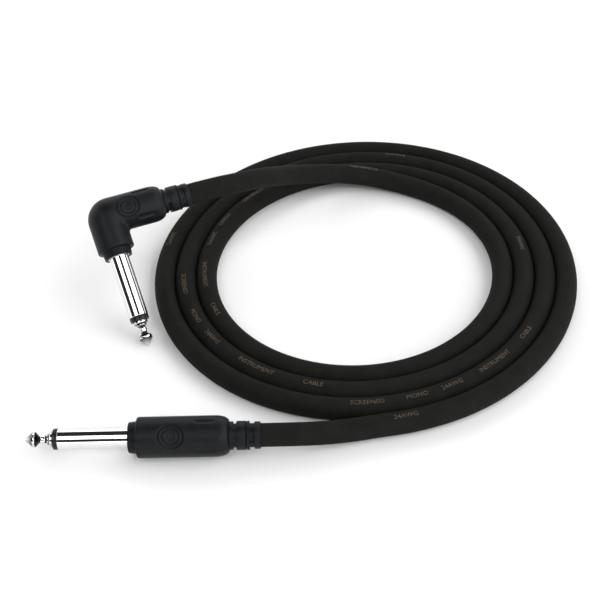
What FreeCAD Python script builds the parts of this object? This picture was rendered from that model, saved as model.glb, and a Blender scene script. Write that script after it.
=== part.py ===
"""Instrument cable: a straight and a right-angle moulded plug on a loosely coiled screened lead.

Millimetres, +Z up. The straight plug lies along X, its tip towards -X and its barrel on the
surface z = 0; the origin is below the middle of that plug. The lead runs from its boot into the
outermost turn of a flat spiral, winds inwards counter-clockwise, climbs over its own turns and
ends in the right-angle plug, which leans on the tip of its pin.
"""
import FreeCAD, Part

import math
import os

from FreeCAD import Placement, Rotation, Vector

# Pin, common to both plugs: distances from the tip's point, then radii.
PIN_R = 3.175
CONE_L, RIM_R, RIM_L = 2.6, 2.28, 0.85
RIM_FRONT_DROP, RIM_BACK_DROP = 0.1, 0.25
NECK_X, NECK_R = 4.55, 0.97
BEAD_X, BEAD_R, BEAD_END_X, BEAD_END_R = 5.5, 1.27, 6.5, 1.05
FLANGE_X, FLANGE_END_X, FLANGE_R, FLANGE_DROP = 7.0, 7.4, 1.65, 0.3
SHOULDER_X, SHOULDER_R, SHOULDER_BEVEL = 7.65, 2.2, 0.15
TIP_BACK_X, SLEEVE_X, COLLAR_X = 8.6, 10.0, 30.5
POINT_R, RING_R = 0.3, 3.0
ROD_R, STUB_R, BORE_R = 1.2, 0.9, 2.2
SPIGOT_X, SLEEVE_FLANGE_X, SLEEVE_END_X = 12.0, 31.2, 32.5
SLEEVE_STEP_R, SLEEVE_FLANGE_R, WASHER_R = 3.45, 4.0, 2.9
SHEET = 0.6
ROD_END_X, STUB_END_X = 34.2, 35.6

# Cuts run this far past the faces that they open; points nearer than CLOSE are one point.
OVER, CLOSE = 1.0, 1e-6
CURVE_STEPS = 8

# Moulded bodies, along the pin axis and then along the cable axis.
COLLAR_FRONT_R, COLLAR_BACK_R, COLLAR_L = 4.45, 4.75, 2.4
MOULD_R, BARREL_R = 4.6, 5.97
EDGE_R = 0.5
BARREL_END_X, MOULD_END_X = 55.6, 48.5
ANGLED_BARREL_L, ANGLED_MOULD_L = 15.45, 11.65
ELBOW_X = 44.7

# Boot behind each barrel: the shoulder, then rings and grooves as length and radius.
SHOULDER_L, SHOULDER_END_R = 3.9, 4.3
RINGS = [(1.2, 4.1), (0.95, 3.65), (3.75, 4.2), (1.4, 3.6), (1.75, 3.95)]
BOOT_L = SHOULDER_L + sum(length for length, radius in RINGS)
WEB_W = 2.4

# Lead and its layers.
CORD_D = 6.9
CORD_R = CORD_D / 2
JACKET_IN_R, DIELECTRIC_R, CORE_R = 2.55, 2.2, 0.55
LUG_W, LUG_T, LUG_GAP, LUG_L = 2.4, 0.5, 0.05, 5.0
STRAP_W, STRAP_LOW, STRAP_HIGH = 2.0, 4.05, 3.35
CLAW_L, CLAW_R = 2.5, 3.95
CLAW_INSET, ANGLED_CLAW_INSET = 1.0, 0.5
PIGTAIL_R, PIGTAIL_OFFSET, PIGTAIL_L = 0.5, 2.5, 4.3
SOLDER_R, SOLDER_L, SOLDER_INSET = 1.0, 2.0, 0.3
JOINT_L, JOINT_W, JOINT_HIGH = 1.6, 1.4, 2.7
HOLE_END_X = 35.8
ANGLED_TAB_PAST = 1.0

# Where the layers end behind each plug, measured back from the end of the boot.
JACKET_L, SHIELD_L, DIELECTRIC_L, CORE_L = 25.6, 27.1, 28.6, 32.4
ANGLED_JACKET_L, ANGLED_SHIELD_L, ANGLED_DIELECTRIC_L, ANGLED_CORE_L = 20.35, 21.85, 23.85, 29.55

# Coil: a flat spiral, slightly oval, from its outer end to its inner end.
COIL_CENTRE = (65.1, 78.3)
COIL_R, COIL_PITCH = 70.0, 6.93
COIL_OVAL, COIL_OVAL_AT = 1.63, 77.4
COIL_START, COIL_END = -80.0, 1132.0
ARC_STEP = 45.0
COIL_RELIEF, RELIEF_TURN = 0.9, 90.0

# Route of the lead outside the coil, with a straight lead-in at the coil and at the angled boot.
LEAD_L, BOOT_LEAD_L = 8.8, 9.0
ARC_SHARE = 0.45
STRAIGHT_ROUTE = [(43.0, 0.0, 5.97), (51.8, 1.2, 4.9), (60.3, 3.2, 3.7)]
ANGLED_ROUTE = [(80.3, 126.2, 4.0), (71.6, 128.0, 5.4), (62.9, 127.7, 7.2), (55.1, 125.7, 9.1),
                (48.3, 122.2, 11.5), (42.4, 117.6, 14.6), (37.6, 111.9, 18.2), (32.8, 105.1, 22.5),
                (26.3, 98.3, 25.7)]

# Right-angle plug: where its axes cross, the arm's turn, and how steeply the pin leans down.
ELBOW = (-17.1, 77.6, 27.75)
ARM_TURN, PIN_SLOPE = 23.5, 37.9

STRAIGHT_L = BARREL_END_X + BOOT_L
ANGLED_L = ANGLED_BARREL_L + BOOT_L
AXIS_Z = BARREL_R
NODES = {}


def keep(name, shape):
    """Name one finished solid as a node."""
    NODES[name] = shape


def lathe(outline):
    """Solid of revolution about X from (x, radius) points, closed along the axis."""
    points = [Vector(x, radius, 0) for x, radius in outline]
    points = [Vector(outline[0][0], 0, 0)] + points + [Vector(outline[-1][0], 0, 0)]
    clean = [points[0]]
    for point in points[1:]:
        if point.distanceToPoint(clean[-1]) > CLOSE:
            clean.append(point)
    face = Part.Face(Part.makePolygon(clean + [clean[0]]))
    return face.revolve(Vector(0, 0, 0), Vector(1, 0, 0), 360)


def rod(radius, start, end, offset=0.0):
    """Cylinder along X at a height offset."""
    return Part.makeCylinder(radius, end - start, Vector(start, 0, offset), Vector(1, 0, 0))


def tube(inner, outer, start, end):
    """Hollow cylinder along X."""
    return rod(outer, start, end).cut(rod(inner, start - OVER, end + OVER))


def slab(start, end, width, low, high):
    """Box along X, centred in Y."""
    return Part.makeBox(end - start, width, high - low, Vector(start, -width / 2, low))


def bead_outline():
    """Points of the small barrel-shaped bead in the tip's groove."""
    span = BEAD_END_X - NECK_X
    low = (NECK_R + BEAD_END_R) / 2
    points = []
    for i in range(1, CURVE_STEPS):
        swell = (BEAD_R - low) * math.sin(math.pi * i / CURVE_STEPS)
        points.append((NECK_X + span * i / CURVE_STEPS, low + swell))
    return points


def tip_contact():
    """Turned tip with its centre rod and the thin stub that the lug is staked on."""
    rim_end = CONE_L + RIM_L
    cone = [(0, POINT_R), (CONE_L, RIM_R - RIM_FRONT_DROP), (CONE_L + RIM_L / 2, RIM_R),
            (rim_end, RIM_R - RIM_BACK_DROP), (NECK_X, NECK_R)]
    flange = [(BEAD_END_X, BEAD_END_R), (FLANGE_X, FLANGE_R), (FLANGE_END_X, FLANGE_R),
              (SHOULDER_X, FLANGE_R - FLANGE_DROP), (SHOULDER_X, SHOULDER_R - SHOULDER_BEVEL),
              (SHOULDER_X + SHOULDER_BEVEL, SHOULDER_R), (TIP_BACK_X, SHOULDER_R)]
    stem = [(TIP_BACK_X, ROD_R), (ROD_END_X, ROD_R), (ROD_END_X, STUB_R), (STUB_END_X, STUB_R)]
    return lathe(cone + bead_outline() + flange + stem)


def tip_insulator():
    """Black ring between tip and sleeve, with a spigot that centres it in the sleeve."""
    ring = lathe([(TIP_BACK_X, RING_R), (SLEEVE_X, RING_R), (SLEEVE_X, BORE_R), (SPIGOT_X, BORE_R)])
    return ring.cut(rod(ROD_R, 0, SPIGOT_X + OVER))


def sleeve():
    """Ground sleeve with the rear step and flange that the mould locks on."""
    body = lathe([(SLEEVE_X, PIN_R), (COLLAR_X, PIN_R), (COLLAR_X, SLEEVE_STEP_R),
                  (SLEEVE_FLANGE_X, SLEEVE_STEP_R), (SLEEVE_FLANGE_X, SLEEVE_FLANGE_R),
                  (SLEEVE_END_X, SLEEVE_FLANGE_R)])
    return body.cut(rod(BORE_R, 0, SLEEVE_END_X + OVER))


def pin_parts(name):
    """The turned and stacked parts that both plugs share, in the pin's own frame."""
    washer_x = SLEEVE_END_X + SHEET
    return {
        name + "_tip_contact": tip_contact(),
        name + "_tip_insulator": tip_insulator(),
        name + "_core_insulator": tube(ROD_R, BORE_R, SPIGOT_X, washer_x),
        name + "_sleeve": sleeve(),
        name + "_rear_washer": tube(ROD_R, WASHER_R, washer_x, ROD_END_X),
    }


def boot_outline(barrel_end):
    """Rounded shoulder and the rings and grooves of the boot, as outline points."""
    points = []
    for i in range(CURVE_STEPS + 1):
        turn = math.pi / 2 * i / CURVE_STEPS
        drop = (BARREL_R - SHOULDER_END_R) * (1 - math.cos(turn))
        points.append((barrel_end + SHOULDER_L * math.sin(turn), BARREL_R - drop))
    x = barrel_end + SHOULDER_L
    for length, radius in RINGS:
        points += [(x, radius), (x + length, radius)]
        x += length
    return points


def boot_webs(barrel_end):
    """Webs that bridge the two grooves, upright across the first and level across the second."""
    x = barrel_end + SHOULDER_L + RINGS[0][0]
    first = slab(x, x + RINGS[1][0], WEB_W, -RINGS[0][1], RINGS[0][1])
    x += RINGS[1][0] + RINGS[2][0]
    height = RINGS[4][1]
    second = Part.makeBox(RINGS[3][0], 2 * height, WEB_W, Vector(x, -height, -WEB_W / 2))
    return first.fuse(second).common(rod(RINGS[4][1], x - 2 * BOOT_L, x + BOOT_L))


def straight_mould():
    """Hard inner mould of the straight plug; its front end is the collar that shows."""
    return lathe([(COLLAR_X, COLLAR_FRONT_R), (COLLAR_X + COLLAR_L, COLLAR_BACK_R),
                  (COLLAR_X + COLLAR_L, MOULD_R), (MOULD_END_X, MOULD_R)])


def straight_housing():
    """Soft outer mould of the straight plug: barrel, shoulder and slotted boot."""
    front = COLLAR_X + COLLAR_L
    edge = [(front, BARREL_R - EDGE_R), (front + EDGE_R, BARREL_R)]
    body = lathe(edge + boot_outline(BARREL_END_X)).fuse(boot_webs(BARREL_END_X)).removeSplitter()
    body = body.cut(rod(MOULD_R, front - OVER, MOULD_END_X))
    return body.cut(rod(CORD_R, 0, STRAIGHT_L + OVER))


def cable_layers(name, end, jacket, shield, dielectric, core):
    """Stripped cable end inside a plug, along X and ending at the boot's rear face."""
    braid = tube(DIELECTRIC_R, JACKET_IN_R, end - shield, end)
    pigtail_x = end - shield
    pigtail = rod(PIGTAIL_R, pigtail_x - PIGTAIL_L + CLAW_L, pigtail_x + SHEET, -PIGTAIL_OFFSET)
    pigtail = pigtail.cut(rod(DIELECTRIC_R, 0, end + OVER))
    return {
        name + "_cable_jacket": tube(JACKET_IN_R, CORD_R, end - jacket, end),
        name + "_cable_shield": braid.fuse(pigtail).removeSplitter(),
        name + "_cable_dielectric": tube(CORE_R, DIELECTRIC_R, end - dielectric, end),
        name + "_cable_core": rod(CORE_R, end - core, end),
    }


def claw(start):
    """Crimp claw: an open ring round the jacket."""
    ring = tube(CORD_R, CLAW_R, start, start + CLAW_L)
    return ring.cut(slab(start - OVER, start + CLAW_L + OVER, CLAW_R, 0, 2 * CLAW_R))


def straight_terminals(layers):
    """Tip lug, ground strap with its claw, and the two solder joints of the straight plug."""
    end = STRAIGHT_L
    lug = tube(STUB_R, BORE_R, ROD_END_X, ROD_END_X + SHEET)
    low = CORE_R + LUG_GAP
    lug = lug.fuse(slab(ROD_END_X, ROD_END_X + LUG_L, LUG_W, low, low + LUG_T))
    lug = lug.cut(rod(STUB_R, ROD_END_X - OVER, HOLE_END_X)).removeSplitter()
    claw_x = end - JACKET_L + CLAW_INSET
    strap = tube(BORE_R, CLAW_R, SLEEVE_END_X, SLEEVE_END_X + SHEET)
    strap = strap.fuse(slab(SLEEVE_END_X, claw_x + CLAW_L, STRAP_W, -STRAP_LOW, -STRAP_HIGH))
    strap = strap.fuse(claw(claw_x)).cut(rod(CORD_R, end - JACKET_L, end)).removeSplitter()
    wires = Part.makeCompound(list(layers.values()))
    solder_x = end - CORE_L + SOLDER_INSET
    tip_solder = rod(SOLDER_R, solder_x, solder_x + SOLDER_L).cut(wires).cut(lug)
    joint_x = end - SHIELD_L - PIGTAIL_L + CLAW_L
    ground_solder = slab(joint_x, joint_x + JOINT_L, JOINT_W, -STRAP_HIGH, -JOINT_HIGH)
    return {"straight_tip_lug": lug, "straight_ground_strap": strap,
            "straight_tip_solder": tip_solder, "straight_ground_solder": ground_solder.cut(wires)}


def on_arm(shape):
    """The same shape carried from the X axis to the arm, its -Z side towards the pin."""
    turned = shape.copy()
    turned.Placement = Placement(Vector(ELBOW_X, 0, 0), Rotation(
        Vector(0, 1, 0), Vector(0, 0, 1), Vector(1, 0, 0), "XZY"))
    return turned


def angled_mould():
    """Hard inner mould of the right-angle plug: collar, elbow and a short arm."""
    leg = lathe([(COLLAR_X, COLLAR_FRONT_R), (COLLAR_X + COLLAR_L, COLLAR_BACK_R),
                 (COLLAR_X + COLLAR_L, MOULD_R), (ELBOW_X, MOULD_R)])
    knee = Part.makeSphere(MOULD_R, Vector(ELBOW_X, 0, 0))
    return leg.fuse(knee).fuse(on_arm(rod(MOULD_R, 0, ANGLED_MOULD_L))).removeSplitter()


def angled_housing(mould):
    """Soft outer mould of the right-angle plug: leg, rounded elbow, arm and slotted boot."""
    front = COLLAR_X + COLLAR_L
    leg = lathe([(front, BARREL_R - EDGE_R), (front + EDGE_R, BARREL_R), (ELBOW_X, BARREL_R)])
    knee = Part.makeSphere(BARREL_R, Vector(ELBOW_X, 0, 0))
    arm = lathe([(0, BARREL_R)] + boot_outline(ANGLED_BARREL_L)).fuse(boot_webs(ANGLED_BARREL_L))
    body = leg.fuse(knee).fuse(on_arm(arm.removeSplitter())).removeSplitter()
    body = body.cut(mould).cut(rod(COLLAR_BACK_R, 0, front))
    return body.cut(on_arm(rod(CORD_R, 0, ANGLED_L + OVER)))


def angled_terminals(layers):
    """Tip lug, ground strap with its claw, and the two solder joints of the right-angle plug."""
    core_end = ANGLED_L - ANGLED_CORE_L
    lug = tube(STUB_R, BORE_R, ROD_END_X, ROD_END_X + SHEET)
    tab = Part.makeBox(ELBOW_X + ANGLED_TAB_PAST - ROD_END_X, LUG_T, LUG_W,
                       Vector(ROD_END_X, core_end - LUG_T, -LUG_W / 2))
    lug = lug.fuse(tab).cut(rod(STUB_R, ROD_END_X - OVER, HOLE_END_X)).removeSplitter()
    claw_t = ANGLED_L - ANGLED_JACKET_L + ANGLED_CLAW_INSET
    thick = STRAP_LOW - STRAP_HIGH
    strap = tube(BORE_R, CLAW_R, SLEEVE_END_X, SLEEVE_END_X + SHEET)
    riser = Part.makeBox(ELBOW_X - STRAP_HIGH - SLEEVE_END_X, thick, STRAP_W,
                         Vector(SLEEVE_END_X, STRAP_HIGH, -STRAP_W / 2))
    seat = Part.makeBox(thick, claw_t + CLAW_L - STRAP_HIGH, STRAP_W,
                        Vector(ELBOW_X - STRAP_LOW, STRAP_HIGH, -STRAP_W / 2))
    jacket = on_arm(rod(CORD_R, ANGLED_L - ANGLED_JACKET_L, ANGLED_L))
    strap = strap.fuse(riser).fuse(seat).fuse(on_arm(claw(claw_t))).cut(jacket).removeSplitter()
    wires = Part.makeCompound(list(layers.values()))
    tip_solder = on_arm(rod(SOLDER_R, core_end, core_end + SOLDER_L)).cut(wires)
    joint_t = ANGLED_L - ANGLED_SHIELD_L - PIGTAIL_L + CLAW_L
    ground_solder = on_arm(slab(joint_t, joint_t + JOINT_L, JOINT_W, -STRAP_HIGH, -JOINT_HIGH))
    ground_solder = ground_solder.cut(wires)
    return {"angled_tip_lug": lug, "angled_ground_strap": strap,
            "angled_tip_solder": tip_solder, "angled_ground_solder": ground_solder}


def straight_plug():
    """Every piece of the straight plug, laid on the surface."""
    parts = pin_parts("straight")
    layers = cable_layers("straight", STRAIGHT_L, JACKET_L, SHIELD_L, DIELECTRIC_L, CORE_L)
    parts.update(layers)
    parts.update(straight_terminals(layers))
    parts["straight_inner_mould"] = straight_mould().cut(Part.makeCompound(list(parts.values())))
    parts["straight_housing"] = straight_housing()
    place = Placement(Vector(-STRAIGHT_L / 2, 0, AXIS_Z), Rotation())
    for name, shape in parts.items():
        shape.Placement = place.multiply(shape.Placement)
        keep(name, shape)


def angled_place():
    """Placement of the right-angle plug: its arm along the lead, its pin down to the surface."""
    turn = Rotation(Vector(0, 0, 1), ARM_TURN)
    roll = Rotation(Vector(1, 0, 0), PIN_SLOPE)
    arm_to_x = Rotation(Vector(1, 1, 0), 180)
    to_elbow = Placement(Vector(-ELBOW_X, 0, 0), Rotation())
    return Placement(Vector(*ELBOW), turn.multiply(roll).multiply(arm_to_x)).multiply(to_elbow)


def angled_plug():
    """Every piece of the right-angle plug, leaning on its tip."""
    parts = pin_parts("angled")
    layers = cable_layers("angled", ANGLED_L, ANGLED_JACKET_L, ANGLED_SHIELD_L,
                          ANGLED_DIELECTRIC_L, ANGLED_CORE_L)
    layers = {name: on_arm(shape) for name, shape in layers.items()}
    parts.update(layers)
    parts.update(angled_terminals(layers))
    envelope = angled_mould()
    parts["angled_inner_mould"] = envelope.cut(Part.makeCompound(list(parts.values())))
    parts["angled_housing"] = angled_housing(envelope)
    place = angled_place()
    for name, shape in parts.items():
        shape.Placement = place.multiply(shape.Placement)
        keep(name, shape)
    return place


def coil_point(angle, offset=0.0, height=0.0):
    """Point of the spiral at an angle in degrees, moved outwards by an offset."""
    oval = COIL_OVAL * math.cos(2 * math.radians(angle - COIL_OVAL_AT))
    radius = COIL_R - COIL_PITCH * angle / 360 + oval + offset
    turn = math.radians(angle)
    return Vector(*COIL_CENTRE, height) + Vector(math.cos(turn), math.sin(turn), 0) * radius


def coil_edges(start, end, offset):
    """Arcs that follow the spiral between two angles, one for each eighth of a turn."""
    count = math.ceil(abs(end - start) / ARC_STEP)
    angles = [start + (end - start) * i / (2 * count) for i in range(2 * count + 1)]
    return [Part.Arc(*[coil_point(a, offset) for a in angles[i:i + 3]]).toShape()
            for i in range(0, 2 * count, 2)]


def coil():
    """One solid as wide as the turns together: a ring with a step where each tail joins it.

    The innermost turn's side is relieved a little, so that the tail climbing beside it is free.
    """
    inner_start, relieved = COIL_END - 360, COIL_END - 360 + RELIEF_TURN
    relief = COIL_RELIEF - CORD_R
    outer = coil_edges(COIL_START, COIL_START + 360, CORD_R)
    outer.append(Part.makeLine(coil_point(COIL_START + 360, CORD_R), coil_point(COIL_START, CORD_R)))
    inner = coil_edges(inner_start, relieved, relief)
    inner.append(Part.makeLine(coil_point(relieved, relief), coil_point(relieved, -CORD_R)))
    inner += coil_edges(relieved, COIL_END, -CORD_R)
    inner.append(Part.makeLine(coil_point(COIL_END, -CORD_R), coil_point(inner_start, relief)))
    ring = Part.Face(Part.Wire(outer)).cut(Part.Face(Part.Wire(inner)))
    return ring.extrude(Vector(0, 0, CORD_D))


def rounded_path(name, points):
    """Straight runs joined by tangent arcs, each as large as its two runs allow."""
    corners = [Vector(*point) for point in points]
    runs = [(b - a).Length for a, b in zip(corners, corners[1:])]
    print(name, "runs", [round(run, 1) for run in runs])
    edges = []
    start = corners[0]
    radii = []
    for i in range(1, len(corners) - 1):
        into = (corners[i] - corners[i - 1]).normalize()
        out = (corners[i + 1] - corners[i]).normalize()
        half = into.getAngle(out) / 2
        reach = ARC_SHARE * min(runs[i - 1], runs[i])
        radius = reach / math.tan(half)
        radii.append(round(radius, 1))
        first = corners[i] - into * reach
        last = corners[i] + out * reach
        centre_way = (out - into).normalize()
        middle = corners[i] + centre_way * (radius / math.cos(half) - radius)
        edges.append(Part.LineSegment(start, first).toShape())
        edges.append(Part.Arc(first, middle, last).toShape())
        start = last
    edges.append(Part.LineSegment(start, corners[-1]).toShape())
    print(name, "radii", radii, "in diameters", [round(radius / CORD_D, 1) for radius in radii])
    return Part.Wire(edges)


def tail(name, points):
    """Round tube along a rounded path, with its volume checked against section times length."""
    path = rounded_path(name, points)
    way = (Vector(*points[1]) - Vector(*points[0])).normalize()
    ring = Part.Wire(Part.makeCircle(CORD_R, Vector(*points[0]), way))
    solid = path.makePipeShell([ring], True, True)
    share = solid.Volume / (math.pi * CORD_R ** 2 * path.Length)
    print(name, "length", round(path.Length, 1), "volume share", round(share, 4))
    keep(name, solid)
    return path.Length


def coil_lead(angle, gap, height):
    """Point a given distance beyond an end of the coil, square to the step that it joins."""
    turn = math.radians(angle)
    return coil_point(angle, 0, height) + Vector(-math.sin(turn), math.cos(turn), 0) * gap


def coil_length():
    """Length of the lead in the coil, summed along the spiral in one-degree steps."""
    count = int(COIL_END - COIL_START)
    points = [coil_point(COIL_START + i) for i in range(count + 1)]
    return sum((b - a).Length for a, b in zip(points, points[1:]))


def tails(boot_end, arm):
    """Both tails, from each boot to its end of the coil; returns their length together."""
    route_a = [(STRAIGHT_L / 2, 0, AXIS_Z)] + STRAIGHT_ROUTE
    route_a += [coil_lead(COIL_START, -LEAD_L, CORD_R), coil_point(COIL_START, 0, CORD_R)]
    route_b = [coil_point(COIL_END, 0, CORD_R), coil_lead(COIL_END, LEAD_L, CORD_R)]
    route_b += ANGLED_ROUTE + [boot_end + arm * BOOT_LEAD_L, boot_end]
    return tail("cable_tail_straight", route_a) + tail("cable_tail_angled", route_b)


def main():
    straight_plug()
    place = angled_plug()
    keep("cable_coil", coil())
    boot_end = place.multVec(Vector(ELBOW_X, ANGLED_L, 0))
    length = tails(boot_end, (boot_end - Vector(*ELBOW)).normalize())
    print("length between boots", round(length + coil_length(), 1), "in the coil", round(coil_length(), 1))
    print("angled boot end", boot_end, "tip", place.multVec(Vector(0, 0, 0)))
    os.makedirs("parts", exist_ok=True)
    for name, shape in NODES.items():
        print(name, "valid", shape.isValid(), "low", round(shape.BoundBox.ZMin, 3))
        solid = shape.Solids[0] if len(shape.Solids) == 1 else shape
        solid.exportStep("parts/" + name + ".step")


main()
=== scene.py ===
import bpy
import bmesh
import math
import numpy as np
from mathutils import Matrix, Vector


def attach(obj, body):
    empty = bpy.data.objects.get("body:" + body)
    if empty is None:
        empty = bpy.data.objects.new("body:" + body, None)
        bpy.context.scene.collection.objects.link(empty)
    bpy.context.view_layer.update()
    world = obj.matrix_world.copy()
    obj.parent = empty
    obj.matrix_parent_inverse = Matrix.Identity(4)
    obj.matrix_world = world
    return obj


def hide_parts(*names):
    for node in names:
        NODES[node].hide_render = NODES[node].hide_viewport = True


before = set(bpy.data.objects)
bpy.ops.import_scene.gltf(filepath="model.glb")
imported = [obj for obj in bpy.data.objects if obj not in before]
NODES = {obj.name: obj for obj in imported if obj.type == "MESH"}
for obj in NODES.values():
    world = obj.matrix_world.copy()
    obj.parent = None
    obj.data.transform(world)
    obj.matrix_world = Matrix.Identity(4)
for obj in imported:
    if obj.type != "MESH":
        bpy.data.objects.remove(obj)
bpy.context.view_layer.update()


# ---------------------------------------------------------------- camera
# A studio camera in front of the cable, looking down on it at about 40 degrees through a long
# lens, with a slight roll. It is aimed at the middle of the coil.
CAMERA_AT = Vector((0.05564, -0.25357, 0.27399))
CAMERA_AIM = Vector((0.0452, 0.06641, 0.0))
CAMERA_LENS, CAMERA_SENSOR = 76.41, 36.0
CAMERA_ROLL = math.radians(-2.558)
NEAREST_SEEN = 0.01

ahead = (CAMERA_AIM - CAMERA_AT).normalized()
level = ahead.cross(Vector((0, 0, 1))).normalized()
upright = level.cross(ahead)
right = level * math.cos(CAMERA_ROLL) + upright * math.sin(CAMERA_ROLL)
upward = upright * math.cos(CAMERA_ROLL) - level * math.sin(CAMERA_ROLL)
camera_data = bpy.data.cameras.new("studio_camera")
camera_data.lens = CAMERA_LENS
camera_data.sensor_width = CAMERA_SENSOR
camera_data.clip_start = NEAREST_SEEN
camera = bpy.data.objects.new("studio_camera", camera_data)
turned = Matrix((right, upward, -ahead)).transposed().to_4x4()
camera.matrix_world = Matrix.Translation(CAMERA_AT) @ turned
bpy.context.scene.collection.objects.link(camera)
bpy.context.scene.camera = camera


# ---------------------------------------------------------------- cable
# The lead: a 6.9 mm screened cable in a matt charcoal PVC jacket, 1.418 m from boot to boot.
# It leaves the straight plug, lies in a flat spiral of a little over three turns, climbs over
# its own turns and goes into the right-angle plug's boot.
CORD_D = 0.0069
COIL_CENTRE = (0.0651, 0.0783)
COIL_R, COIL_PITCH = 0.070, 0.00693
COIL_OVAL, COIL_OVAL_AT = 0.00163, math.radians(77.4)
COIL_START, COIL_END = math.radians(-80), math.radians(1132)
COIL_STEP = math.radians(10)
LEAD_L, BOOT_LEAD_L = 0.0088, 0.0090
COIL_TRIM = 0.0009
SPLINE_STEPS, ROUND_STEPS = 5, 14
PATCH_EDGES, PATCH_DETAIL, GRAIN_DETAIL, GRAIN_DEPTH = (0.35, 0.65), 3.0, 4.0, 0.0001
BOOT_EXIT = (0.034275, 0.0, 0.00597)
STRAIGHT_ROUTE = [(0.0430, 0.0, 0.00597), (0.0518, 0.0012, 0.0049), (0.0603, 0.0032, 0.0037)]
ANGLED_ROUTE = [(0.0803, 0.1262, 0.0040), (0.0716, 0.1280, 0.0054), (0.0629, 0.1277, 0.0072),
                (0.0551, 0.1257, 0.0091), (0.0483, 0.1222, 0.0115), (0.0424, 0.1176, 0.0146),
                (0.0376, 0.1119, 0.0182), (0.0328, 0.1051, 0.0225), (0.0263, 0.0983, 0.0257)]
ELBOW = np.array((-0.0171, 0.0776, 0.02775))
ARM_L = 0.0284
ARM_TURN, PIN_SLOPE = math.radians(23.5), math.radians(37.9)


def coil_points(angle, lift=1.0):
    """Points of the spiral: radius falls by one pitch a turn, swells twice a turn, times lift."""
    oval = COIL_OVAL * np.cos(2 * (angle - COIL_OVAL_AT))
    radius = (COIL_R - COIL_PITCH * angle / (2 * np.pi) + oval) * lift
    return np.stack([COIL_CENTRE[0] + radius * np.cos(angle),
                     COIL_CENTRE[1] + radius * np.sin(angle),
                     np.full_like(angle, CORD_D / 2)], axis=1)


def coil_lead(angle, gap):
    """Point beyond an end of the coil, a gap along its tangent."""
    tangent = np.array([-math.sin(angle), math.cos(angle), 0])
    return coil_points(np.array([angle]))[0] + gap * tangent


def cord_curve(name, points, diameter, looks):
    """Open quadratic NURBS spline with the points as its control points and a round section."""
    data = bpy.data.curves.new(name, "CURVE")
    data.dimensions = "3D"
    spline = data.splines.new("NURBS")
    spline.points.add(len(points) - 1)
    for point, place in zip(spline.points, points):
        point.co = (*place, 1.0)
    spline.order_u = 3
    spline.use_endpoint_u = True
    spline.resolution_u = SPLINE_STEPS
    data.bevel_depth = diameter / 2
    data.bevel_resolution = ROUND_STEPS
    data.use_fill_caps = True
    data.materials.append(looks)
    obj = bpy.data.objects.new(name, data)
    bpy.context.scene.collection.objects.link(obj)
    return obj


def finish_look(name, colour, second, rough, metal=0.0, patch=900.0, grain=9000.0, bump=0.1,
                gloss=0.5, rough_spread=0.08, stretch=(1, 1, 1)):
    """Material: two close colours mixed by soft noise patches, roughness that varies with them,
    and a fine grain as bump. Noise sizes are in cells per metre, in Object coordinates."""
    made = bpy.data.materials.new(name)
    made.use_nodes = True
    tree = made.node_tree
    shader = tree.nodes["Principled BSDF"]
    shader.inputs["Metallic"].default_value = metal
    shader.inputs["Specular IOR Level"].default_value = gloss
    place = tree.nodes.new("ShaderNodeTexCoord")
    sized = tree.nodes.new("ShaderNodeMapping")
    sized.inputs["Scale"].default_value = stretch
    tree.links.new(place.outputs["Object"], sized.inputs["Vector"])
    soft = tree.nodes.new("ShaderNodeTexNoise")
    soft.inputs["Scale"].default_value = patch
    soft.inputs["Detail"].default_value = PATCH_DETAIL
    fine = tree.nodes.new("ShaderNodeTexNoise")
    fine.inputs["Scale"].default_value = grain
    fine.inputs["Detail"].default_value = GRAIN_DETAIL
    for noise in (soft, fine):
        tree.links.new(sized.outputs["Vector"], noise.inputs["Vector"])
    ramp = tree.nodes.new("ShaderNodeValToRGB")
    for element, edge, shade in zip(ramp.color_ramp.elements, PATCH_EDGES, (colour, second)):
        element.position = edge
        element.color = (*shade, 1)
    tree.links.new(soft.outputs["Fac"], ramp.inputs["Fac"])
    tree.links.new(ramp.outputs["Color"], shader.inputs["Base Color"])
    rub = tree.nodes.new("ShaderNodeMapRange")
    rub.inputs["To Min"].default_value = max(0.0, rough - rough_spread)
    rub.inputs["To Max"].default_value = rough + rough_spread
    tree.links.new(soft.outputs["Fac"], rub.inputs["Value"])
    tree.links.new(rub.outputs["Result"], shader.inputs["Roughness"])
    relief = tree.nodes.new("ShaderNodeBump")
    relief.inputs["Strength"].default_value = bump
    relief.inputs["Distance"].default_value = GRAIN_DEPTH
    tree.links.new(fine.outputs["Fac"], relief.inputs["Height"])
    tree.links.new(relief.outputs["Normal"], shader.inputs["Normal"])
    return made


jacket_look = finish_look("matt_charcoal_jacket", (0.0086, 0.0086, 0.0077), (0.0112, 0.0112, 0.0100),
                          rough=0.70, patch=260, grain=6500, bump=0.35, gloss=0.05)
turn_count = round((COIL_END - COIL_START) / COIL_STEP)
turn_angles = np.linspace(COIL_START, COIL_END, turn_count + 1)
# A quadratic spline cuts inside a ring of control points, so they stand out by this share.
turn_lift = 1 / (0.75 + 0.25 * math.cos(COIL_STEP)) - COIL_TRIM
arm_way = np.array((math.cos(ARM_TURN), math.sin(ARM_TURN), 0.0))
angled_exit = ELBOW + arm_way * ARM_L
route = [BOOT_EXIT, *STRAIGHT_ROUTE, coil_lead(COIL_START, -LEAD_L)]
route += list(coil_points(turn_angles, turn_lift))
route += [coil_lead(COIL_END, LEAD_L), *ANGLED_ROUTE, angled_exit + arm_way * BOOT_LEAD_L, angled_exit]
cable = cord_curve("cable", route, CORD_D, jacket_look)
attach(cable, "root")
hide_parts("cable_coil", "cable_tail_straight", "cable_tail_angled")


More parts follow.
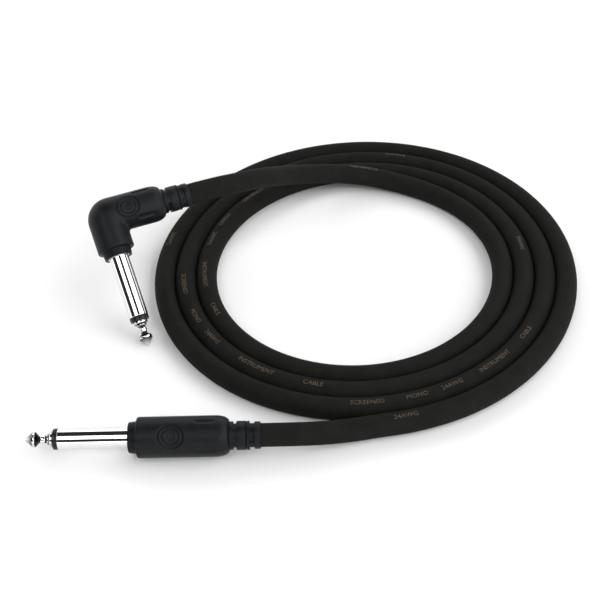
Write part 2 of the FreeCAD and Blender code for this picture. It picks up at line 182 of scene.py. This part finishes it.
# ---------------------------------------------------------------- pins
# Each plug's pin: a turned tip with its neck, bead and flange, a black ring, and a hollow sleeve.
# Tip and sleeve are brass in bright nickel plate; the ring is moulded nylon. Stacked on the rod.
MM = 0.001
STRAIGHT_TIP = np.array((-0.034275, 0.0, 0.00597))
FACING = math.radians(46.6)
ELBOW_X = 44.7
COLUMNS = 96
SHARP_EDGE = math.radians(50)
LESS_THAN_HALF = 1 / 2.05
SOFT_RISE = 1.6
# Painted shade and painted reflection on the tip, as bands along it (centre, half width, in mm). Dark bands
# lie in the grooves and between the turned parts where shade falls. Grey bands, a share as dark, lie on the
# back cone and the flare and stand in for reflection tones. The last value is the dark colour the bands
# paint.
TIP_GROOVE_SHADE = [(2.42, 0.24), (3.42, 0.3), (4.5, 0.36), (6.4, 0.4), (7.45, 0.28), (8.5, 0.22)]
TIP_GREY_REFLECTION, GREY_SHARE = [(3.95, 0.7), (6.95, 0.5)], 0.5
PAINTED_SHADE_COLOUR = (0.012, 0.012, 0.013, 1)


def plug_frame(origin, axis, face):
    """Axis, a face direction square to it and their cross product, with the origin they start at."""
    axis, face = np.array(axis, float), np.array(face, float)
    return origin, axis, face, np.cross(axis, face)


pin_axis = np.array((-math.sin(ARM_TURN) * math.cos(PIN_SLOPE), math.cos(ARM_TURN) * math.cos(PIN_SLOPE),
                     math.sin(PIN_SLOPE)))
arm_face = np.cross(arm_way, pin_axis)
PINS = {"straight": plug_frame(STRAIGHT_TIP, (1, 0, 0), (0, -math.cos(FACING), math.sin(FACING))),
        "angled": plug_frame(ELBOW - pin_axis * ELBOW_X * MM, pin_axis, arm_face)}


def rounded(corners, sizes, steps=4):
    """Outline in which each corner is an arc: a quadratic curve between points its size away."""
    corners = np.array(corners, float)
    parts = [corners[:1]]
    t = np.linspace(0, 1, steps + 1)[:, None]
    for before, corner, after, size in zip(corners, corners[1:], corners[2:], sizes):
        back, ahead = before - corner, after - corner
        back_l, ahead_l = np.linalg.norm(back), np.linalg.norm(ahead)
        reach = min(size, back_l * LESS_THAN_HALF, ahead_l * LESS_THAN_HALF)
        start, end = corner + back / back_l * reach, corner + ahead / ahead_l * reach
        parts.append((1 - t) ** 2 * start + 2 * t * (1 - t) * corner + t ** 2 * end)
    parts.append(corners[-1:])
    return np.concatenate(parts)


def round_grid(plug, along, radius, columns):
    """Grid about a plug's axis: origin + axis * along + radius * (face cos + side sin), in mm."""
    origin, axis, face, side = plug
    angle = np.linspace(0, 2 * np.pi, columns, endpoint=False)
    out = face * np.cos(angle)[:, None] + side * np.sin(angle)[:, None]
    along, radius = np.broadcast_arrays(along, radius)
    return origin + MM * (along[..., None] * axis + radius[..., None] * out)


def closed_mesh(name, grid, looped, looks, stands_for, painted_shade=None):
    """Piece from a grid whose columns close on themselves. Its rows close too when looped;
    otherwise each end row is closed with a fan. Turned outwards by the sign of its volume.
    Painted shade, one number a row, is kept as an attribute that the finish reads to darken the plating."""
    rows, columns = grid.shape[:2]
    index = np.arange(rows * columns).reshape(rows, columns)
    beside = np.roll(index, -1, axis=1)
    quads = np.stack([index, beside, np.roll(beside, -1, axis=0), np.roll(index, -1, axis=0)], axis=-1)
    points = grid.reshape(-1, 3)
    fans = np.zeros((0, 3), int)
    if not looped:
        quads = quads[:-1]
        points = np.concatenate([points, [grid[0].mean(0), grid[-1].mean(0)]])
        first, last = np.full(columns, rows * columns), np.full(columns, rows * columns + 1)
        fans = np.concatenate([np.stack([first, beside[0], index[0]], 1),
                               np.stack([last, index[-1], beside[-1]], 1)])
    quads = quads.reshape(-1, 4)
    corners = points - points.mean(0)
    thirds = np.concatenate([quads[:, [0, 1, 2]], quads[:, [0, 2, 3]], fans])
    volume = np.einsum("ij,ij->", corners[thirds[:, 0]],
                       np.cross(corners[thirds[:, 1]], corners[thirds[:, 2]]))
    if volume < 0:
        quads, fans = quads[:, ::-1], fans[:, ::-1]
    mesh = bpy.data.meshes.new(name)
    mesh.from_pydata(points.tolist(), [], quads.tolist() + fans.tolist())
    mesh.polygons.foreach_set("use_smooth", np.ones(len(mesh.polygons), bool))
    mesh.set_sharp_from_angle(angle=SHARP_EDGE)
    if painted_shade is not None:
        dark = np.zeros(len(points), np.float32)
        dark[:rows * columns] = np.repeat(painted_shade, columns)
        mesh.attributes.new("painted_shade", "FLOAT", "POINT").data.foreach_set("value", dark)
    mesh.materials.append(looks)
    obj = bpy.data.objects.new(name, mesh)
    bpy.context.scene.collection.objects.link(obj)
    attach(obj, "root")
    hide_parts(*stands_for)
    return obj


def smooth_step(value):
    """3 v^2 - 2 v^3 of the value held between 0 and 1."""
    value = np.clip(value, 0, 1)
    return value * value * (3 - 2 * value)


def painted_shade_look(looks):
    """Paints shade over the plating: a dark colour covers the plating's colour where the mesh's per-row
    attribute is high, as shade in grooves and between parts.
    """
    tree = looks.node_tree
    shader = tree.nodes["Principled BSDF"]
    plating = shader.inputs["Base Color"].links[0].from_socket
    painted_shade = tree.nodes.new("ShaderNodeAttribute")
    painted_shade.attribute_name = "painted_shade"
    cover = tree.nodes.new("ShaderNodeMix")
    cover.data_type = "RGBA"
    cover.inputs["B"].default_value = PAINTED_SHADE_COLOUR
    tree.links.new(painted_shade.outputs["Fac"], cover.inputs["Factor"])
    tree.links.new(plating, cover.inputs["A"])
    tree.links.new(cover.outputs["Result"], shader.inputs["Base Color"])
    return looks


def bumps(along, places):
    """Largest of smooth bumps: 1 at each centre, 0 from its half width on."""
    rises = [smooth_step(SOFT_RISE * (1 - np.abs(along - at) / half)) for at, half in places]
    return np.max(rises, axis=0)


# The tip's finish carries painted shade, dark in its grooves, and grey bands that stand in for reflections.
tip_look = painted_shade_look(finish_look("bright_nickel_tip", (0.74, 0.74, 0.75), (0.78, 0.78, 0.78), rough=0.07,
                                 metal=1.0, patch=700, grain=30000, bump=0.02, rough_spread=0.03))
sleeve_look = finish_look("bright_nickel_sleeve", (0.80, 0.80, 0.81), (0.84, 0.84, 0.84), rough=0.04,
                          metal=1.0, patch=500, grain=30000, bump=0.01, rough_spread=0.02)
ring_look = finish_look("black_nylon_ring", (0.008, 0.008, 0.009), (0.013, 0.013, 0.014), rough=0.16,
                        patch=1200, grain=20000, bump=0.1, gloss=0.25)
tip_outline = rounded(
    [(0, 0.02), (0.18, 0.33), (2.45, 2.16), (3.05, 2.3), (3.4, 2.12), (4.4, 0.97), (4.6, 0.97), (4.9, 1.2),
     (5.5, 1.3), (6.1, 1.2), (6.4, 1.0), (6.5, 1.0), (6.9, 1.7), (7.3, 1.7), (7.5, 1.3), (7.6, 2.2),
     (7.8, 2.35), (8.6, 2.35), (8.6, 1.2), (34.2, 1.2), (34.2, 0.9), (35.6, 0.9)],
    [0.15, 0.2, 0.2, 0.15, 0.2, 0.1, 0.25, 0.3, 0.25, 0.12, 0.1, 0.1, 0.1, 0.05, 0.05, 0.08, 0.05, 0.02,
     0.02, 0.02, 0.02])
ring_outline = rounded([(8.6, 2.7), (8.6, 3.1), (9.4, 3.1), (9.5, 2.95), (9.6, 3.1), (10.0, 3.1), (10.0, 2.2),
                        (12.0, 2.2), (12.0, 1.2), (8.6, 1.2), (8.6, 2.7)],
                       [0.15, 0.04, 0.02, 0.04, 0.06, 0.02, 0.02, 0.02, 0.02])[:-1]
sleeve_outline = rounded([(10.0, 2.6), (10.0, 3.175), (30.5, 3.175), (30.5, 3.45), (31.2, 3.45), (31.2, 4.0),
                          (32.5, 4.0), (32.5, 2.2), (10.0, 2.2), (10.0, 2.6)],
                         [0.14, 0.02, 0.02, 0.02, 0.05, 0.05, 0.02, 0.02])[:-1]
tip_along = tip_outline[:, 0]
# Painted shade for each row of the tip's outline: dark in the grooves, grey where reflection tones are
# painted.
tip_painted_shade = np.maximum(bumps(tip_along, TIP_GROOVE_SHADE), GREY_SHARE * bumps(tip_along, TIP_GREY_REFLECTION))
for plug, pin in PINS.items():
    tip, ring, sleeve = [round_grid(pin, outline[:, :1], outline[:, 1:], COLUMNS)
                         for outline in (tip_outline, ring_outline, sleeve_outline)]
    closed_mesh(plug + "_pin_tip", tip, False, tip_look, [plug + "_tip_contact"], tip_painted_shade)
    closed_mesh(plug + "_pin_ring", ring, True, ring_look,
                    [plug + "_tip_insulator"])
    closed_mesh(plug + "_pin_sleeve", sleeve, True, sleeve_look, [plug + "_sleeve"])


# ---------------------------------------------------------------- housings
# The moulded plug bodies: a soft PVC barrel with shallow flutes and a round plain medallion, a
# rounded shoulder, and a slotted boot that lets the cable bend. The right-angle one turns 90
# degrees from its leg into its arm. Moulded over the hard inner body, whose collar shows.
BARREL_R, MOULD_R, CORD_R = 5.97, 4.6, 3.45
FRONT_X, MOULD_END_X, BARREL_END_X, ARM_BARREL_L, ARM_MOULD_L = 32.9, 48.5, 55.6, 15.45, 11.65
EDGE_R, CORNER_R = 0.5, 1.5
SHOULDER_L, SHOULDER_END_R = 3.9, 4.3
BOOT = [(1.2, 4.1, 4.1), (0.95, 3.48, 4.0), (2.75, 4.2, 4.2), (0.3, 4.02, 4.02), (0.7, 4.2, 4.2),
        (1.4, 3.48, 4.0), (1.75, 3.95, 3.95)]
FLUTE_W, FLUTE_DEEP, FLUTE_FROM, FLUTE_TO = 0.9, 0.34, -5.1, -0.8
MEDAL_R, MEDAL_DEEP, MEDAL_X, ARM_MEDAL_Y = 3.9, 0.36, 42.9, 7.0
RIM_IN, RIM_HALF, RIM_SOFT = 0.25, 0.3, 1.3
FINE_AT, FINE_HALF, FINE_SOFT, FINE_SHARE = 0.62, 0.24, 1.2, 0.7
DISH_AT, DISH_SHARE = 0.36, 0.6
FRONT_BORE_R, BENT_END_Y = 4.8, 8.6
CHAMFER, HAIR = 0.1, 0.02
WEB_1_FROM, WEB_1_SOFT, WEB_2_FROM, WEB_2_SOFT = 0.80, 0.08, 0.86, 0.07
BOOT_EDGE = ((0.02, 0.12), (0.06, 0.03), (0.14, 0.0))
SLOT_R = 3.8
SECOND_SLOT_FROM = BOOT[5][0] + BOOT[2][0] / 2
BARREL_ROWS = [(33.6, 37.9, 5), (38.1, 46.5, 58), (46.8, BARREL_END_X - CHAMFER, 46)]
ARM_FROM, ARM_ROWS = 8.75, 44
EDGE_STEPS, SHOULDER_ROWS, LEG_ROWS, CORNER_ROWS, BEND_ROWS = 6, 14, 10, 16, 46
HOUSING_COLUMNS = 240


def flutes(along, angle, barrel_end):
    """Depth of four grooves with round ends, 45 degrees from the medallion and then every 90."""
    turn = (angle + np.pi / 2) % (np.pi / 2) - np.pi / 4
    middle, half = barrel_end + (FLUTE_FROM + FLUTE_TO) / 2, (FLUTE_TO - FLUTE_FROM) / 2
    beyond = np.maximum(np.abs(along - middle) - half, 0)
    return FLUTE_DEEP * smooth_step(SOFT_RISE * (1 - np.hypot(beyond, turn * BARREL_R) / FLUTE_W))


def medallion(along, angle, centre):
    """Depth of the moulded medallion: a ring groove, a finer one inside it, and a dished middle."""
    across = (angle + np.pi) % (2 * np.pi) - np.pi
    out = np.hypot(along - centre, across * BARREL_R)
    rim = smooth_step(RIM_SOFT - np.abs(out - MEDAL_R + RIM_IN) / RIM_HALF)
    fine = smooth_step(FINE_SOFT - np.abs(out - FINE_AT * MEDAL_R) / FINE_HALF)
    dish = smooth_step((DISH_AT * MEDAL_R - out) / RIM_HALF)
    return MEDAL_DEEP * np.maximum(rim, np.maximum(FINE_SHARE * fine, DISH_SHARE * dish))


def boot_rows(barrel_end):
    """Rows of the shoulder and boot: place along, radius in a slot, and radius on a web."""
    turn = np.linspace(0, np.pi / 2, SHOULDER_ROWS)
    drop = (BARREL_R - SHOULDER_END_R) * (1 - np.cos(turn))
    rows = [np.stack([barrel_end + SHOULDER_L * np.sin(turn), BARREL_R - drop, BARREL_R - drop], 1)]
    at = barrel_end + SHOULDER_L
    for length, slot, web in BOOT:
        near, low = np.array(BOOT_EDGE).T
        inset = np.concatenate([near, [length / 2], length - near[::-1]])
        soften = np.concatenate([low, [0], low[::-1]]) * (slot > SLOT_R)
        rows.append(np.stack([at + inset, slot - soften, web - soften], 1))
        at += length
    return np.concatenate(rows)


def boot_radius(rows, angle):
    """Radius of the boot: from the slot's to the web's by a smooth step of |cos angle| across the
    first slot, and of |sin 2 angle| from halfway along the band before the second."""
    at = rows[:, :1] - rows[-1, 0] + BOOT[-1][0]
    second = at > -SECOND_SLOT_FROM
    webs_1 = smooth_step((np.abs(np.cos(angle)) - WEB_1_FROM) / WEB_1_SOFT)
    webs_2 = smooth_step((np.abs(np.sin(2 * angle)) - WEB_2_FROM) / WEB_2_SOFT)
    web = np.where(second, webs_2, webs_1)
    return rows[:, 1:2] * (1 - web) + rows[:, 2:3] * web


housing_look = finish_look("soft_black_housing", (0.0050, 0.0059, 0.0071), (0.0070, 0.0082, 0.0098),
                           rough=0.40, patch=420, grain=7500, bump=0.30, gloss=0.13)
collar_look = finish_look("hard_black_mould", (0.0048, 0.0056, 0.0067), (0.0066, 0.0076, 0.0090), rough=0.42,
                          patch=500, grain=9000, bump=0.2, gloss=0.10)
angle = np.linspace(0, 2 * np.pi, HOUSING_COLUMNS, endpoint=False)[None, :]

edge = rounded([(FRONT_X, FRONT_BORE_R), (FRONT_X, BARREL_R), (FRONT_X + 2, BARREL_R)], [EDGE_R],
               EDGE_STEPS)
barrel = np.concatenate([np.linspace(*rows) for rows in BARREL_ROWS])
shoulder = boot_rows(BARREL_END_X)
bore = np.array([(shoulder[-1, 0] + HAIR, CORD_R), (MOULD_END_X + CHAMFER, CORD_R),
                 (MOULD_END_X, CORD_R + CHAMFER), (MOULD_END_X, MOULD_R - CHAMFER),
                 (MOULD_END_X - CHAMFER, MOULD_R), (FRONT_X, MOULD_R)])
along = np.concatenate([edge[:-1, 0], barrel, shoulder[:, 0], bore[:, 0]])[:, None]
deep = flutes(along, angle, BARREL_END_X) + medallion(along, angle, MEDAL_X)
columns = np.ones(HOUSING_COLUMNS)
outer = np.concatenate([edge[:-1, 1:] * columns, np.full((len(barrel), HOUSING_COLUMNS), BARREL_R),
                        boot_radius(shoulder, angle)])
radius = np.concatenate([outer - deep[:len(outer)], bore[:, 1:] * columns])
closed_mesh("straight_body", round_grid(PINS["straight"], along, radius, HOUSING_COLUMNS), True,
            housing_look, ["straight_housing"])


def bent_rows(radius, fractions, part):
    """Rows of the leg, the corner or the arm's first stretch of the right-angle body. A line at
    offset q inside the bend runs to its corner point (elbow - q, q), which has an arc of radius
    a = corner radius + how far the line is outside the bend."""
    turn = angle - np.pi / 2
    q, high = radius * np.cos(turn), radius * np.sin(turn)
    arc = CORNER_R + np.maximum(-q, 0)
    f = np.array(fractions)[:, None]
    if part == "leg":
        x, y = FRONT_X + EDGE_R + f * (ELBOW_X - q - arc - FRONT_X - EDGE_R), q + 0 * f
    elif part == "corner":
        x = ELBOW_X - q - arc + arc * np.sin(f * np.pi / 2)
        y = q + arc - arc * np.cos(f * np.pi / 2)
    else:
        y = q + arc + f * (BENT_END_Y - q - arc)
        deep = medallion(y, angle, ARM_MEDAL_Y)
        x, high = ELBOW_X - (radius - deep) * np.cos(turn), (radius - deep) * np.sin(turn)
    return np.stack(np.broadcast_arrays(x, y, high), axis=-1)


def arm_rows(along, radius):
    """Rows about the arm's axis: (elbow - radius cos, along, radius sin)."""
    turn = angle - np.pi / 2
    x, y, high = np.broadcast_arrays(ELBOW_X - radius * np.cos(turn), along, radius * np.sin(turn))
    return np.stack([x, y, high], axis=-1)


def leg_rows(along, radius):
    """Rows about the leg's axis: (along, radius cos, radius sin)."""
    turn = angle - np.pi / 2
    x, y, high = np.broadcast_arrays(along, radius * np.cos(turn), radius * np.sin(turn))
    return np.stack([x, y, high], axis=-1)


shoulder = boot_rows(ARM_BARREL_L)
mid_arm = np.linspace(ARM_FROM, ARM_BARREL_L - CHAMFER, ARM_ROWS)
mid_arm = np.concatenate([mid_arm, shoulder[:, 0]])[:, None]
arm_outer = np.concatenate([np.full((ARM_ROWS, HOUSING_COLUMNS), BARREL_R), boot_radius(shoulder, angle)])
arm_outer = arm_outer - flutes(mid_arm, angle, ARM_BARREL_L) - medallion(mid_arm, angle, ARM_MEDAL_Y)
bore_along = np.array([[shoulder[-1, 0] + HAIR], [ARM_MOULD_L + CHAMFER], [ARM_MOULD_L], [ARM_MOULD_L],
                       [ARM_MOULD_L - CHAMFER]])
bore_radius = np.array([[CORD_R], [CORD_R], [CORD_R + CHAMFER], [MOULD_R - CHAMFER], [MOULD_R]])
local = np.concatenate([
    leg_rows(edge[:-1, :1], edge[:-1, 1:]),
    bent_rows(BARREL_R, np.linspace(0, 1, LEG_ROWS)[1:], "leg"),
    bent_rows(BARREL_R, np.linspace(0, 1, CORNER_ROWS)[1:], "corner"),
    bent_rows(BARREL_R, np.linspace(0, 1, BEND_ROWS)[1:], "arm"), arm_rows(mid_arm, arm_outer),
    arm_rows(bore_along, bore_radius), bent_rows(MOULD_R, [1.0, 0.5, 0.0], "corner"),
    leg_rows(np.array([[FRONT_X]]), np.array([[MOULD_R]]))])
origin, leg_way, face_way, _ = PINS["angled"]
basis = np.stack([leg_way, arm_way, -face_way])
angled_body = closed_mesh("angled_body", origin + MM * local @ basis, True, housing_look,
                          ["angled_housing"])

for plug in PINS:
    NODES[plug + "_inner_mould"].material_slots[0].material = collar_look


# ---------------------------------------------------------------- inside the plugs
# What the moulds hide: the stripped cable with its polyethylene core and copper braid, the
# tinned lug and earth strap with their solder, and the pin's nylon spacer and rear washer.
INSIDE = {
    "cable_jacket": jacket_look,
    "cable_shield": finish_look("copper_braid", (0.42, 0.20, 0.11), (0.60, 0.31, 0.18), rough=0.35, metal=1.0,
                                patch=2600, grain=5200, bump=0.6, stretch=(1, 1.6, 1.6)),
    "cable_dielectric": finish_look("milky_polyethylene", (0.62, 0.62, 0.58), (0.70, 0.69, 0.65), rough=0.4,
                                    patch=700, grain=8000, bump=0.08),
    "cable_core": finish_look("stranded_copper", (0.50, 0.24, 0.13), (0.66, 0.35, 0.21), rough=0.3, metal=1.0,
                              patch=900, grain=4200, bump=0.5, stretch=(0.2, 1, 1)),
    "tip_lug": finish_look("tinned_brass", (0.62, 0.60, 0.54), (0.70, 0.69, 0.64), rough=0.3, metal=1.0,
                           patch=800, grain=9000, bump=0.15),
    "tip_solder": finish_look("bright_solder", (0.52, 0.53, 0.55), (0.66, 0.67, 0.68), rough=0.22, metal=1.0,
                              patch=1500, grain=6000, bump=0.3),
    "core_insulator": finish_look("natural_nylon", (0.50, 0.48, 0.42), (0.58, 0.56, 0.50), rough=0.45,
                                  patch=600, grain=9000, bump=0.1)}
INSIDE["ground_strap"], INSIDE["ground_solder"] = INSIDE["tip_lug"], INSIDE["tip_solder"]
INSIDE["rear_washer"] = INSIDE["core_insulator"]
for plug in PINS:
    for part, look in INSIDE.items():
        NODES[plug + "_" + part].material_slots[0].material = look


# ---------------------------------------------------------------- legend
# What a cable of this kind says of itself, printed along the jacket in faint bronze ink and
# upright for someone inside the coil. Each word is thin closed lettering bent round the jacket.
LEGEND = [(0.0392, "24AWG"), (0.3385, "24AWG"), (0.4555, "SCREENED"), (0.4722, "MONO"), (0.4834, "24AWG"),
          (0.4972, "INSTRUMENT"), (0.5172, "CABLE"), (0.6393, "24AWG"), (0.7580, "SCREENED"),
          (0.7763, "MONO"), (0.7876, "24AWG"), (0.8044, "INSTRUMENT"), (0.8269, "CABLE"),
          (0.9380, "24AWG"), (1.0387, "INSTRUMENT"), (1.0585, "SCREENED"), (1.0771, "MONO"),
          (1.0880, "24AWG"), (1.1045, "INSTRUMENT"), (1.1260, "CABLE"), (1.3350, "SCREENED")]
LETTER_H, INK_PROUD, INK_SUNK = 0.0015, 0.00003, 0.00004
LEGEND_TURN = math.radians(-8)
CAP_H, THICK, LETTER_STEPS, WELD = 0.70, 0.5, 2, 1e-5
CUTS = (0.17, 0.33, 0.5, 0.67, 0.83)


def cord_line(obj):
    """Points, lengths from the start, tangents and left-hand directions along a cord's spline."""
    bare = obj.data.copy()
    bare.bevel_depth = 0.0
    holder = bpy.data.objects.new("cord_line", bare)
    mesh = bpy.data.meshes.new_from_object(holder)
    points = np.empty(len(mesh.vertices) * 3)
    mesh.vertices.foreach_get("co", points)
    points = points.reshape(-1, 3)
    bpy.data.objects.remove(holder)
    bpy.data.meshes.remove(mesh)
    bpy.data.curves.remove(bare)
    steps = np.diff(points, axis=0)
    lengths = np.concatenate([[0], np.cumsum(np.linalg.norm(steps, axis=1))])
    tangent = np.gradient(points, axis=0)
    tangent /= np.linalg.norm(tangent, axis=1)[:, None]
    left = np.cross([0, 0, 1], tangent)
    return points, lengths, tangent, left / np.linalg.norm(left, axis=1)[:, None]


def lettering(words):
    """Closed letters with caps one unit high, cut across at five heights so that they can bend."""
    data = bpy.data.curves.new(words, "FONT")
    data.body, data.size, data.extrude, data.resolution_u = words, 1 / CAP_H, THICK, LETTER_STEPS
    holder = bpy.data.objects.new(words, data)
    mesh = bpy.data.meshes.new_from_object(holder)
    shape = bmesh.new()
    shape.from_mesh(mesh)
    bmesh.ops.remove_doubles(shape, verts=shape.verts, dist=WELD)
    for height in CUTS:
        bmesh.ops.bisect_plane(shape, geom=[*shape.verts, *shape.edges, *shape.faces],
                               plane_co=(0, height, 0), plane_no=(0, 1, 0))
    bmesh.ops.triangulate(shape, faces=shape.faces)
    shape.to_mesh(mesh)
    shape.free()
    bpy.data.objects.remove(holder)
    bpy.data.curves.remove(data)
    points = np.empty(len(mesh.vertices) * 3)
    mesh.vertices.foreach_get("co", points)
    corners = np.empty(len(mesh.loops), np.int32)
    mesh.loops.foreach_get("vertex_index", corners)
    bpy.data.meshes.remove(mesh)
    return points.reshape(-1, 3), corners.reshape(-1, 3)


ink_look = finish_look("worn_bronze_ink", (0.035, 0.028, 0.018), (0.115, 0.087, 0.052), rough=0.55,
                       patch=2600, grain=9000, bump=0.2, gloss=0.2)
line, lengths, tangent, left = cord_line(cable)
ink_points, ink_faces, count = [], [], 0
for start, words in LEGEND:
    flat, faces = lettering(words)
    along = start + flat[:, 0] * LETTER_H
    centre, forward, side = [np.stack([np.interp(along, lengths, axis) for axis in rows.T], 1)
                             for rows in (line, tangent, left)]
    over = np.cross(forward, side)
    turn = LEGEND_TURN + (flat[:, 1] - 0.5) * LETTER_H / (CORD_D / 2)
    out = CORD_D / 2 + np.where(flat[:, 2] > 0, INK_PROUD, -INK_SUNK)
    radial = over * np.cos(turn)[:, None] + side * np.sin(turn)[:, None]
    ink_points.append(centre + radial * out[:, None])
    ink_faces.append(count + faces)
    count += len(flat)
ink_mesh = bpy.data.meshes.new("printed_legend")
ink_mesh.from_pydata(np.concatenate(ink_points).tolist(), [], np.concatenate(ink_faces).tolist())
ink_mesh.materials.append(ink_look)
legend = bpy.data.objects.new("printed_legend", ink_mesh)
bpy.context.scene.collection.objects.link(legend)
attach(legend, "root")


# ---------------------------------------------------------------- floor and light
# Plain pale floor, a white tent all round, and black flags that draw the dark lines in the
# polished pins: each is a strip of sky, narrow one way and long the other.
FLAGS = [((-0.186, 0.190, 0.964), (1, 0, 0), 24, 32), ((-0.186, -0.882, 0.430), (1, 0, 0), 14, 25),
         ((-0.801, -0.419, 0.425), tuple(pin_axis), 22, 26),
         ((0.196, -0.390, 0.901), tuple(pin_axis), 13, 12), ((0.861, 0.375, 0.340), tuple(pin_axis), 11, 20)]
FLAG_COLOUR = (0.01, 0.01, 0.01, 1)
FRONT, FADE_HALF = (0.0, -0.69, 0.72), 0.5
TENT_BACK, TENT_POWER = 0.42, 2.75
FLOOR_SIZE, FLOOR_COLOUR, FLOOR_ROUGH = 6, (0.9, 0.9, 0.9, 1), 0.9
bpy.ops.mesh.primitive_plane_add(size=FLOOR_SIZE)
floor = bpy.context.object
floor.name = "studio_floor"
floor_look = bpy.data.materials.new("pale_floor")
floor_look.use_nodes = True
floor_shader = floor_look.node_tree.nodes["Principled BSDF"]
floor_shader.inputs["Base Color"].default_value = FLOOR_COLOUR
floor_shader.inputs["Roughness"].default_value = FLOOR_ROUGH
floor.data.materials.append(floor_look)
world = bpy.data.worlds.new("studio")
world.use_nodes = True
sky = world.node_tree
sky.nodes["Background"].inputs["Strength"].default_value = TENT_POWER
direction = sky.nodes.new("ShaderNodeTexCoord")
light = None


def sky_math(operation, first, second=None, third=None):
    """Math node with its inputs linked or set."""
    node = sky.nodes.new("ShaderNodeMath")
    node.operation = operation
    for socket, value in zip(node.inputs, (first, second, third)):
        if value is None:
            continue
        if isinstance(value, (int, float)):
            socket.default_value = value
        else:
            sky.links.new(value, socket)
    return node.outputs[0]


def sky_dot(vector):
    """Dot product of the view direction with a fixed vector."""
    node = sky.nodes.new("ShaderNodeVectorMath")
    node.operation = "DOT_PRODUCT"
    sky.links.new(direction.outputs["Generated"], node.inputs[0])
    node.inputs[1].default_value = vector
    return node.outputs["Value"]


for centre, long_way, narrow_deg, long_deg in FLAGS:
    centre = Vector(centre).normalized()
    long_way = (Vector(long_way) - centre * Vector(long_way).dot(centre)).normalized()
    narrow_way = centre.cross(long_way)
    inside = [sky_math("LESS_THAN", sky_math("ABSOLUTE", sky_dot(way)), math.sin(math.radians(half)))
              for way, half in ((narrow_way, narrow_deg), (long_way, long_deg))]
    front = sky_math("GREATER_THAN", sky_dot(centre), 0.0)
    flag = sky_math("MULTIPLY", sky_math("MULTIPLY", *inside), front)
    light = flag if light is None else sky_math("MAXIMUM", light, flag)
fade = sky.nodes.new("ShaderNodeMapRange")
fade.interpolation_type = "SMOOTHSTEP"
fade.inputs["From Min"].default_value = -FADE_HALF
fade.inputs["From Max"].default_value = FADE_HALF
fade.inputs["To Min"].default_value = TENT_BACK
sky.links.new(sky_dot(FRONT), fade.inputs["Value"])
tent = sky.nodes.new("ShaderNodeMix")
tent.data_type = "RGBA"
sky.links.new(fade.outputs["Result"], tent.inputs["A"])
tent.inputs["B"].default_value = FLAG_COLOUR
sky.links.new(light, tent.inputs["Factor"])
sky.links.new(tent.outputs["Result"], sky.nodes["Background"].inputs["Color"])
bpy.context.scene.world = world
bpy.context.scene.view_settings.view_transform = "Standard"

bpy.context.view_layer.update()
